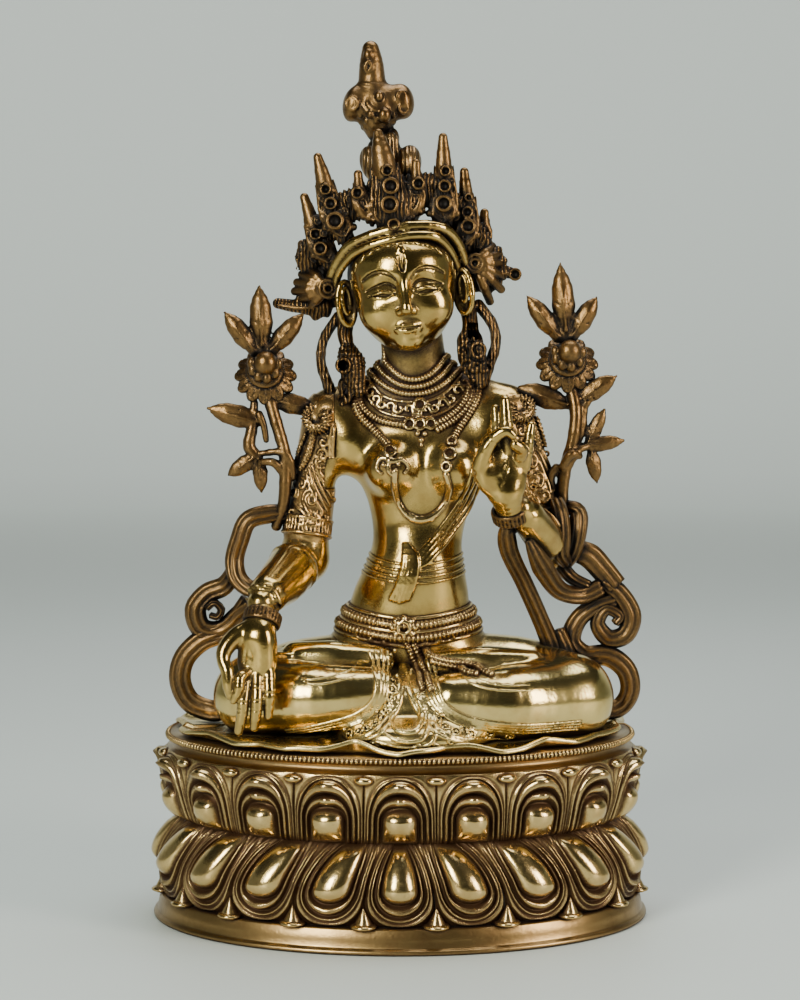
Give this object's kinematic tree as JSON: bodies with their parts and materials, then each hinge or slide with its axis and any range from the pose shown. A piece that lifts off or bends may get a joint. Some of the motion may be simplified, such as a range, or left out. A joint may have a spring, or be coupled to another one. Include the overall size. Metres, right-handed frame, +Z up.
{
  "type": "tara figure",
  "caption": "Cast brass figure of a seated Tara with a leafed crown, lotus sprays and looping scarves, on its own oval lotus pedestal.",
  "frame": {"origin": "middle of the pedestal's underside", "axes": "+Z up, the figure faces -Y, +X towards its raised left hand"},
  "size_m": [0.1752, 0.127, 0.3072],
  "materials": {
    "polished_brass": "polished cast brass with brown patina left in the carving",
    "antique_brass": "antiqued cast brass, dark brown in the recesses and rubbed bright on the raised parts"
  },
  "bodies": {
    "root": {"figure": "polished_brass", "lotus_pedestal": "antique_brass"}
  },
  "joints": []
}
